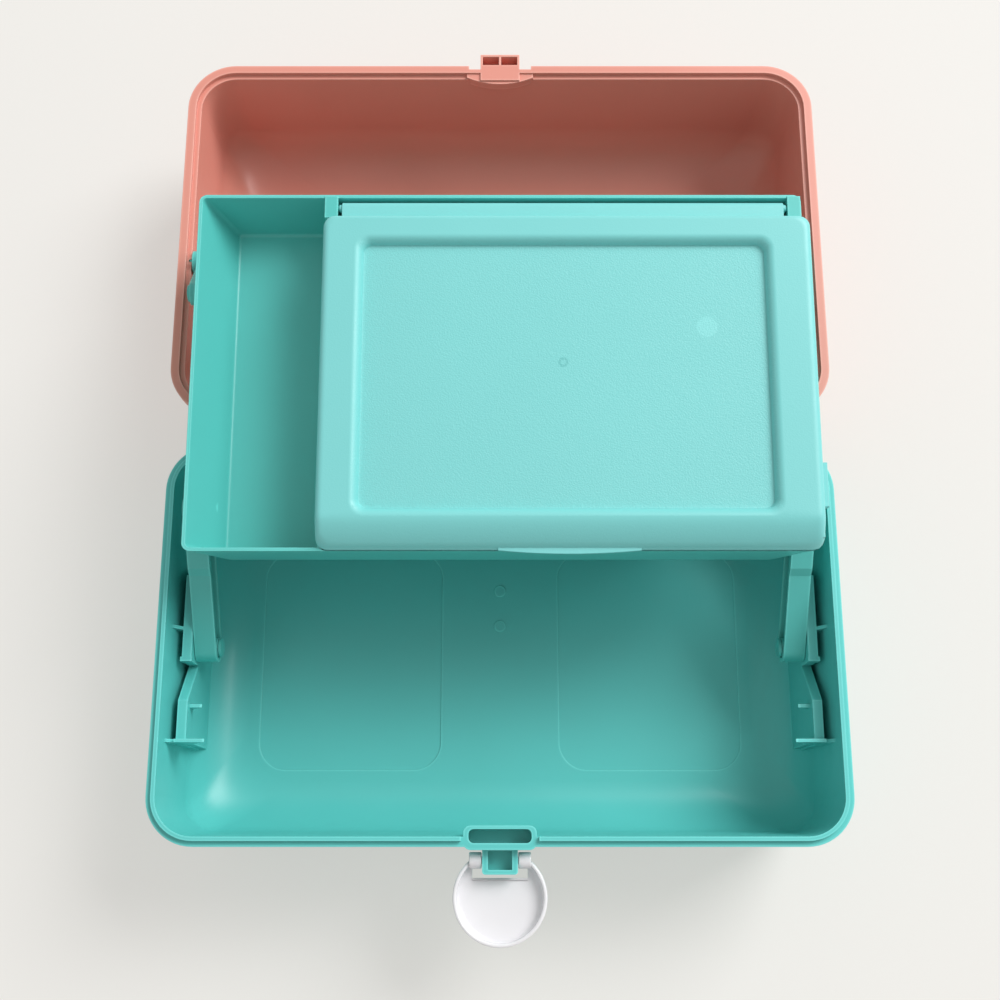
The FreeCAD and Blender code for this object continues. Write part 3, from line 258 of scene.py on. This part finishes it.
def panel_plastic(name):
    """The flip lid: pebbled, most in its recess, with an ejector spot and a gate mark."""
    n = plastic(name, PALE, 0.42, grain=1.5, grain_size=0.8 * MM, tone=0.02,
                where=(PEBBLE_LOW, PEBBLE_HIGH, PEBBLE_EDGE))
    base = n.shader.inputs["Base Color"]
    spot = n.near(*EJECTOR_AT, EJECTOR_R)
    n.link(n.mix(n.math("MULTIPLY", spot, EJECTOR_SHARE), base.links[0].from_socket,
                 shifted(PALE, EJECTOR_PALER)), base)
    ring = n.math("SUBTRACT", n.near(*GATE_AT, GATE_R), n.near(*GATE_AT, GATE_R / 2))
    n.link(n.mix(n.math("MULTIPLY", ring, GATE_SHARE), base.links[0].from_socket,
                 shifted(PALE, -GATE_DULLER)), base)
    return n


TEAL = (90, 195, 189)
BASE_TEAL = (95, 200, 196)
PALE = (126, 210, 209)
CORAL = (226, 150, 135)
MILK = (233, 231, 235)
STEEL_DARK, STEEL_LIGHT = (150, 150, 152), (196, 196, 198)
MIRROR_DARK, MIRROR_LIGHT = (222, 226, 225), (236, 239, 238)

# Marks of the flip lid, as seen from above with the case open.
PEBBLE_LOW = (-67.5 * MM, 52.0 * MM)
PEBBLE_HIGH = (129.0 * MM, 183.0 * MM)
PEBBLE_EDGE = 1.0 * MM
EJECTOR_AT = (98.1 * MM, 141.2 * MM)
EJECTOR_R = 5.0 * MM
EJECTOR_SHARE, EJECTOR_PALER = 0.8, 10
GATE_AT = (29.8 * MM, 123.6 * MM)
GATE_R = 2.4 * MM
GATE_SHARE, GATE_DULLER = 0.6, 26

EDGE_HIGHLIGHT_SHARE = 0.75               # strength of the painted highlight along the edges of the larger mouldings

MATERIALS = {
    "teal_shell": plastic("moulded_teal_base", BASE_TEAL, 0.34, edge=EDGE_HIGHLIGHT_SHARE),
    "coral_shell": plastic("moulded_coral_lid", CORAL, 0.36, edge=EDGE_HIGHLIGHT_SHARE),
    "teal_tray": plastic("moulded_teal_tray", TEAL, 0.36, edge=EDGE_HIGHLIGHT_SHARE),
    "pale_aqua": panel_plastic("textured_aqua_lid"),
    "mirror": mirror_glass("silvered_mirror"),
    "clear_latch": milky_plastic("milky_latch"),
    "coral_handle": plastic("moulded_coral_handle", CORAL, 0.34),
    "steel_pin": steel("drawn_steel_pin"),
    "teal_arm": plastic("moulded_teal_arm", TEAL, 0.36, edge=EDGE_HIGHLIGHT_SHARE),
    "teal_link": plastic("moulded_teal_link", TEAL, 0.36, edge=EDGE_HIGHLIGHT_SHARE),
    "teal_pin": plastic("moulded_teal_pin", TEAL, 0.36),
    "coral_pin": plastic("moulded_coral_pin", CORAL, 0.36),
}

for part in frame["record"]["subparts"]:
    node = frame["nodes"][part["node"]]
    node.data.materials.clear()
    node.data.materials.append(MATERIALS[part["material_slot"]].material)


# ---------------------------------------------------------------- meshes
SHARP = math.radians(32)        # edges sharper than this stay creased


def blend(a, b, t):
    return a + (b - a) * t


def add_rings(mesh, rings, place):
    """A closed skin over a stack of rings, its two ends filled; place gives world points."""
    rows = [[mesh.verts.new(place(*point)) for point in ring] for ring in rings]
    for low, high in zip(rows, rows[1:]):
        for i in range(len(low)):
            j = (i + 1) % len(low)
            mesh.faces.new((low[i], low[j], high[j], high[i]))
    mesh.faces.new(list(reversed(rows[0])))
    mesh.faces.new(rows[-1])


def finished(mesh, name):
    """An object made from a bmesh."""
    bmesh.ops.recalc_face_normals(mesh, faces=mesh.faces)
    data = bpy.data.meshes.new(name)
    mesh.to_mesh(data)
    mesh.free()
    obj = bpy.data.objects.new(name, data)
    bpy.context.scene.collection.objects.link(obj)
    return obj


def smooth(obj, slot):
    """Smooth shading with creases, and the material of a slot."""
    for face in obj.data.polygons:
        face.use_smooth = True
    obj.data.set_sharp_from_angle(angle=SHARP)
    obj.data.materials.clear()
    obj.data.materials.append(MATERIALS[slot].material)


# ---------------------------------------------------------------- flip lid
# Its own frame is the tray's, in millimetres: x, v behind the front rim, w above the rim plane.
TRAY_TILT = math.radians(2.4)
TRAY_ORIGIN = Vector((0.0, 34.6, 110.0))
LID_X = (-84.9, 149.1)
LID_V = (0.0, 162.4)
LID_LOW = 0.3
LID_TOP = 10.0
LID_WALL = 1.8
LID_CORNER = 5.5
LID_EDGE = 3.0                  # rounding of the top's outer edge
EDGE_SHARES = (0.0, 0.08, 0.25, 0.5, 0.75, 1.0)  # places of its rings
ROLL_V = 14.4
ROLL_POWER = 1.35               # below 2, so that the roll starts its fall early
ROLL_UNDER_V = (12.0, 10.0, 8.0, 6.0, 4.5, 3.2)  # places of the rings on the wall's inner face
ROLL_OVER_V = (3.6, 4.6, 6.0, 8.0, 10.0, 12.0)   # and of those on its outer face
RECESS_X = (-69.5, 130.7)
RECESS_V = (14.6, 152.2)
RECESS_R = 7.0
RECESS_DEPTH = 4.4
RECESS_SLOPE = 4.2
RECESS_TURN = math.radians(74)  # steepest turn of the shoulder that falls into the recess
RECESS_TIGHTER = 0.6            # how fast the corners tighten down the shoulder
RECESS_STEPS = 9
RECESS_FILLET = ((0.0, 0.94), (0.12, 0.985), (0.4, 1.0))  # past the shoulder: inset, share of depth
PANEL_UNDER = 1.8               # underside of the sunk panel, on the mirror
CORNER_STEPS = 10
SIDE_STEPS = 36
HINGE_V, HINGE_W, HINGE_R = 170.6, -2.0, 2.8
HINGE_STEPS = 12
STRIP_X = (-77.0, 138.2)
KNUCKLE_X = (-78.4, 139.6)
KNUCKLE_R = 1.9
KNUCKLE_STEPS = 24
STRIP_TOP, STRIP_LOW = 0.8, -3.4
SKIRT_LOW = -4.0
SKIRT_IN = 0.05                 # the skirt's face in from the lid's side
SKIRT_SOFT = 0.3
TAB_V = (20.7, 41.8)
TAB_OUT = 3.6
TAB_TOP = 1.0
CRESCENT_LENGTH, CRESCENT_REACH, CRESCENT_T = 66.0, 1.6, 1.4
CRESCENT_STEPS = 20


def on_tray(x, v, w):
    """World place, in metres, of a point in the tray's frame."""
    y = v * math.cos(TRAY_TILT) - w * math.sin(TRAY_TILT)
    z = v * math.sin(TRAY_TILT) + w * math.cos(TRAY_TILT)
    return (Vector((x, y, z)) + TRAY_ORIGIN) * MM


def rounded_ring(xs, vs, radius):
    """Points round a rounded rectangle, closer together near its front."""
    (x0, x1), (v0, v1) = xs, vs
    corners = ((x1, v0, -90), (x1, v1, 0), (x0, v1, 90), (x0, v0, 180))
    signs = ((-1, 1), (-1, -1), (1, -1), (1, 1))
    arcs = []
    for (x, v, start), (sx, sv) in zip(corners, signs):
        cx, cv = x + sx * radius, v + sv * radius
        turn = [math.radians(start + 90 * i / CORNER_STEPS) for i in range(CORNER_STEPS + 1)]
        arcs.append([(cx + radius * math.cos(a), cv + radius * math.sin(a)) for a in turn])
    ring = []
    for k, arc in enumerate(arcs):
        ring += arc
        (ax, av), (bx, bv) = arc[-1], arcs[(k + 1) % 4][0]
        for i in range(1, SIDE_STEPS):
            t = i / SIDE_STEPS
            if k == 0:
                t = t ** 2
            elif k == 2:
                t = 1 - (1 - t) ** 2
            ring.append((blend(ax, bx, t), blend(av, bv, t)))
    return ring


def roll_height(v):
    """Height of the lid's top, falling away over the rolled front edge."""
    if v >= ROLL_V:
        return LID_TOP
    share = (ROLL_V - max(v, 0.0)) / ROLL_V
    return LID_LOW + (LID_TOP - LID_LOW) * (1 - share ** ROLL_POWER) ** (1 / ROLL_POWER)


def lid_ring(t, height):
    """A ring t of the way from the lid's outline to its recess; height gives w from v."""
    xs = [blend(a, b, t) for a, b in zip(LID_X, RECESS_X)]
    vs = [blend(a, b, t) for a, b in zip(LID_V, RECESS_V)]
    ring = rounded_ring(xs, vs, blend(LID_CORNER, RECESS_R, t))
    return [(x, v, height(v)) for x, v in ring]


def recess_ring(inset, w):
    """A level ring inside the recess's edge, or outside it where inset is below 0."""
    ring = rounded_ring((RECESS_X[0] + inset, RECESS_X[1] - inset),
                        (RECESS_V[0] + inset, RECESS_V[1] - inset),
                        RECESS_R - RECESS_TIGHTER * inset)
    return [(x, v, w) for x, v in ring]


def lid_rings():
    """All rings of the lid's closed shell, from the middle of its underside to its top."""
    front = RECESS_V[0] - LID_V[0]
    rings = [recess_ring(-LID_WALL, PANEL_UNDER),
             recess_ring(-LID_WALL, LID_TOP - LID_WALL)]
    for v in ROLL_UNDER_V + (LID_WALL,):
        rings.append(lid_ring(v / front, lambda v: max(LID_LOW, roll_height(v) - LID_WALL)))
    rings.append(lid_ring(LID_WALL / front, lambda v: LID_LOW))
    rings.append(lid_ring(0.0, lambda v: LID_LOW))
    for share in EDGE_SHARES:
        inset = LID_EDGE * share
        drop = LID_EDGE - math.sqrt(LID_EDGE ** 2 - (LID_EDGE - inset) ** 2)
        rings.append(lid_ring(inset / front, lambda v: max(LID_LOW, roll_height(v) - drop)))
    for v in ROLL_OVER_V + (ROLL_V, front):
        rings.append(lid_ring(v / front, roll_height))
    # the shoulder steepens all the way down, then meets the panel in a small fillet
    shoulder_share = RECESS_FILLET[0][1]
    for i in range(1, RECESS_STEPS + 1):
        turn = RECESS_TURN * i / RECESS_STEPS
        share = shoulder_share * (1 - math.cos(turn)) / (1 - math.cos(RECESS_TURN))
        inset = RECESS_SLOPE * math.sin(turn) / math.sin(RECESS_TURN)
        rings.append(recess_ring(inset, LID_TOP - RECESS_DEPTH * share))
    for extra, share in RECESS_FILLET[1:] + ((LID_WALL, 1.0),):
        rings.append(recess_ring(RECESS_SLOPE + extra, LID_TOP - RECESS_DEPTH * share))
    return rings


def hinge_strip(mesh):
    """The strip behind the lid, bent down round the hinge, and its two pivot knuckles."""
    front = LID_V[1] - LID_WALL
    back = LID_V[1] - LID_WALL / 2
    bend = [math.radians(90 - 180 * i / HINGE_STEPS) for i in range(HINGE_STEPS + 1)]
    profile = [(front, LID_TOP / 2), (back, LID_TOP / 2), (back, STRIP_TOP)]
    profile += [(HINGE_V + HINGE_R * math.cos(a), HINGE_W + HINGE_R * math.sin(a)) for a in bend]
    profile += [(HINGE_V - HINGE_R, STRIP_LOW), (front, STRIP_LOW)]
    add_rings(mesh, [[(x, v, w) for v, w in profile] for x in STRIP_X], on_tray)
    around = [math.tau * i / KNUCKLE_STEPS for i in range(KNUCKLE_STEPS)]
    add_rings(mesh, [[(x, HINGE_V + KNUCKLE_R * math.cos(a), HINGE_W + KNUCKLE_R * math.sin(a))
                      for a in around] for x in KNUCKLE_X], on_tray)


def right_side(mesh):
    """The skirt down the lid's right side, and the finger tab that stands out from it."""
    inner, soft = LID_X[1] - LID_WALL, SKIRT_SOFT
    skirt = (LID_X[1] - SKIRT_IN, LID_CORNER, LID_V[1] - LID_CORNER, LID_TOP / 2)
    tab = (LID_X[1] + TAB_OUT, TAB_V[0], TAB_V[1], TAB_TOP)
    for out, v0, v1, top in (skirt, tab):
        section = [(inner, SKIRT_LOW), (out - soft, SKIRT_LOW), (out, SKIRT_LOW + soft),
                   (out, top - soft), (out - soft, top), (inner, top)]
        add_rings(mesh, [[(x, v, w) for x, w in section] for v in (v0, v1)], on_tray)


def crescent(mesh):
    """The finger crescent under the middle of the front edge."""
    middle, half = sum(LID_X) / 2, CRESCENT_LENGTH / 2
    shares = [i / CRESCENT_STEPS for i in range(-CRESCENT_STEPS, CRESCENT_STEPS + 1)]
    outline = [(middle + half * t, -CRESCENT_REACH * (1 - t ** 2)) for t in shares]
    outline += [(middle + half, LID_WALL), (middle - half, LID_WALL)]
    add_rings(mesh, [[(x, v, w) for x, v in outline] for w in (LID_LOW, LID_LOW + CRESCENT_T)],
              on_tray)


def flip_lid():
    """The flip lid: rolled front, deep soft-edged recess, hinge strip, skirt, tab and crescent."""
    mesh = bmesh.new()
    add_rings(mesh, lid_rings(), on_tray)
    hinge_strip(mesh)
    right_side(mesh)
    crescent(mesh)
    lid = finished(mesh, "flip_lid")
    smooth(lid, "pale_aqua")
    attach(lid, "compartment_lid")
    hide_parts("compartment_lid")


# ---------------------------------------------------------------- latch
# Its own frame is in millimetres, with the latch's axis at the origin and the latch lying out.
LATCH_AT = Vector((0.0, -103.0, 65.0))
DISC_R = 22.0
DISC_Y = -16.8
DISC_LOW, DISC_TOP = -5.0, 2.0
DISC_SKIN = 1.5
RING_T = 1.8
NOTCH_X, NOTCH_Y = 13.0, -8.0
RIDGE_T, RIDGE_H = 0.9, 0.7
BARREL_R = 3.75
BARREL_X = (8.6, 14.4)
STUB_R = 1.7
STUB_X = 5.6
STUB_SUNK = 1.0                 # how far a stub runs into its barrel
DISC_STEPS = 96
DISC_FOOT = 1.2                 # how far the underside's rounding runs in and up
DISC_FOOT_MIDDLE = 0.35         # and its middle point
RIM_STEPS = 8
FILLET_R = 2.2
FILLET_STEPS = 6
NOTCH_PAST = 10.0               # how far the notch's cutter runs on past the dish
NOTCH_GAP = 0.02                # ridge in front of the notch's wall
RIDGE_SUNK = 0.5
BAR_STEPS = 40
BAR_SOFT = 0.3


def latch_point(x, y, z):
    """World place, in metres, of a point in the latch's frame."""
    return (Vector((x, y, z)) + LATCH_AT) * MM


def dish_profile():
    """Radius and height round the dish's section, from its underside to its inner floor."""
    points = [(DISC_R - DISC_FOOT, DISC_LOW),
              (DISC_R - DISC_FOOT_MIDDLE, DISC_LOW + DISC_FOOT_MIDDLE),
              (DISC_R, DISC_LOW + DISC_FOOT)]
    half = RING_T / 2
    for i in range(RIM_STEPS + 1):
        turn = math.pi * i / RIM_STEPS
        points.append((DISC_R - half + half * math.cos(turn), DISC_TOP - half + half * math.sin(turn)))
    across, up = DISC_R - RING_T - FILLET_R, DISC_LOW + DISC_SKIN + FILLET_R
    for i in range(FILLET_STEPS + 1):
        turn = math.radians(90) * i / FILLET_STEPS
        points.append((across + FILLET_R * math.cos(turn), up - FILLET_R * math.sin(turn)))
    return points


def block(mesh, low, high):
    """A plain block of the latch, as a stack of two rings."""
    (x0, y0, z0), (x1, y1, z1) = low, high
    flat = ((x0, y0), (x1, y0), (x1, y1), (x0, y1))
    add_rings(mesh, [[(x, y, z) for x, y in flat] for z in (z0, z1)], latch_point)


def bar(mesh, radius, x0, x1):
    """A round bar along X with softened ends."""
    turns = [math.tau * i / BAR_STEPS for i in range(BAR_STEPS)]
    rings = [(x0, radius - BAR_SOFT), (x0 + BAR_SOFT, radius),
             (x1 - BAR_SOFT, radius), (x1, radius - BAR_SOFT)]
    add_rings(mesh, [[(x, r * math.cos(a), r * math.sin(a)) for a in turns] for x, r in rings],
              latch_point)


def latch_dish():
    """Mesh of the round dish, with the notch for the latch block cut away."""
    mesh = bmesh.new()
    turns = [math.tau * i / DISC_STEPS for i in range(DISC_STEPS)]
    add_rings(mesh, [[(r * math.cos(a), DISC_Y + r * math.sin(a), z) for a in turns]
                     for r, z in dish_profile()], latch_point)
    dish = finished(mesh, "latch_dish")
    mesh = bmesh.new()
    block(mesh, (-NOTCH_X, NOTCH_Y, -NOTCH_PAST), (NOTCH_X, NOTCH_PAST, NOTCH_PAST))
    cutter = finished(mesh, "latch_cutter")
    cut = dish.modifiers.new("notch", "BOOLEAN")
    cut.operation = "DIFFERENCE"
    cut.solver = "EXACT"
    cut.object = cutter
    bpy.context.view_layer.update()
    shape = dish.evaluated_get(bpy.context.evaluated_depsgraph_get())
    data = bpy.data.meshes.new_from_object(shape)
    for obj in (dish, cutter):
        bpy.data.objects.remove(obj)
    return data


def round_latch():
    """The milky latch: notched dish, a low ridge at the notch, barrels and stubs."""
    mesh = bmesh.new()
    mesh.from_mesh(latch_dish())
    floor_z = DISC_LOW + DISC_SKIN
    block(mesh, (-NOTCH_X, NOTCH_Y - RIDGE_T, floor_z - RIDGE_SUNK),
          (NOTCH_X, NOTCH_Y - NOTCH_GAP, floor_z + RIDGE_H))
    for side in (-1, 1):
        bar(mesh, BARREL_R, *sorted(side * x for x in BARREL_X))
        bar(mesh, STUB_R, *sorted((side * STUB_X, side * (BARREL_X[0] + STUB_SUNK))))
    latch = finished(mesh, "round_latch")
    smooth(latch, "clear_latch")
    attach(latch, "latch")
    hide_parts("latch")


flip_lid()
round_latch()


# ---------------------------------------------------------------- floor, camera and light
def floor():
    """A large pale studio floor at the height the case stands on."""
    half = FLOOR_SIZE / 2
    mesh = bpy.data.meshes.new("studio_floor")
    corners = [(-half, -half, 0), (half, -half, 0), (half, half, 0), (-half, half, 0)]
    mesh.from_pydata(corners, [], [(0, 1, 2, 3)])
    obj = bpy.data.objects.new("studio_floor", mesh)
    bpy.context.scene.collection.objects.link(obj)
    n = Nodes("pale_paper")
    fibre = n.noise(FLOOR_FIBRES, 4.0, 0.6)
    n.link(n.mix(fibre, shifted(FLOOR_COLOUR, -FLOOR_FIBRE), linear(FLOOR_COLOUR)),
           n.shader.inputs["Base Color"])
    n.shader.inputs["Roughness"].default_value = 0.9
    n.shader.inputs["Specular IOR Level"].default_value = 0.1
    glow = n.add("ShaderNodeEmission")
    glow.inputs["Color"].default_value = linear(FLOOR_COLOUR)
    seen = n.add("ShaderNodeLightPath").outputs["Is Camera Ray"]
    both = n.add("ShaderNodeMixShader")
    n.link(n.math("MULTIPLY", seen, FLOOR_GLOW), both.inputs["Fac"])
    n.link(n.shader.outputs["BSDF"], both.inputs[1])
    n.link(glow.outputs["Emission"], both.inputs[2])
    n.link(both.outputs["Shader"], n.tree.nodes["Material Output"].inputs["Surface"])
    mesh.materials.append(n.material)


def camera():
    """The photograph's viewpoint: high above the front edge."""
    data = bpy.data.cameras.new("camera")
    data.lens = CAMERA_LENS
    data.sensor_width = CAMERA_SENSOR
    data.clip_start = CAMERA_NEAR
    obj = bpy.data.objects.new("camera", data)
    bpy.context.scene.collection.objects.link(obj)
    obj.location = CAMERA_AT
    obj.rotation_euler = (math.radians(CAMERA_TILT_DEG), 0, 0)
    bpy.context.scene.camera = obj


def lights():
    """A soft box high at the back right, and even light from all round."""
    data = bpy.data.lights.new("key", "AREA")
    data.shape = "SQUARE"
    data.size = KEY_SIZE
    data.energy = KEY_POWER
    obj = bpy.data.objects.new("key", data)
    bpy.context.scene.collection.objects.link(obj)
    obj.location = KEY_AT
    obj.rotation_euler = (KEY_AIM - KEY_AT).to_track_quat("-Z", "Y").to_euler()
    world = bpy.data.worlds.new("studio")
    bpy.context.scene.world = world
    world.use_nodes = True
    background = world.node_tree.nodes["Background"]
    background.inputs["Color"].default_value = linear(WORLD_COLOUR)
    background.inputs["Strength"].default_value = WORLD_STRENGTH


floor()
camera()
lights()
bpy.context.scene.view_settings.view_transform = "Standard"
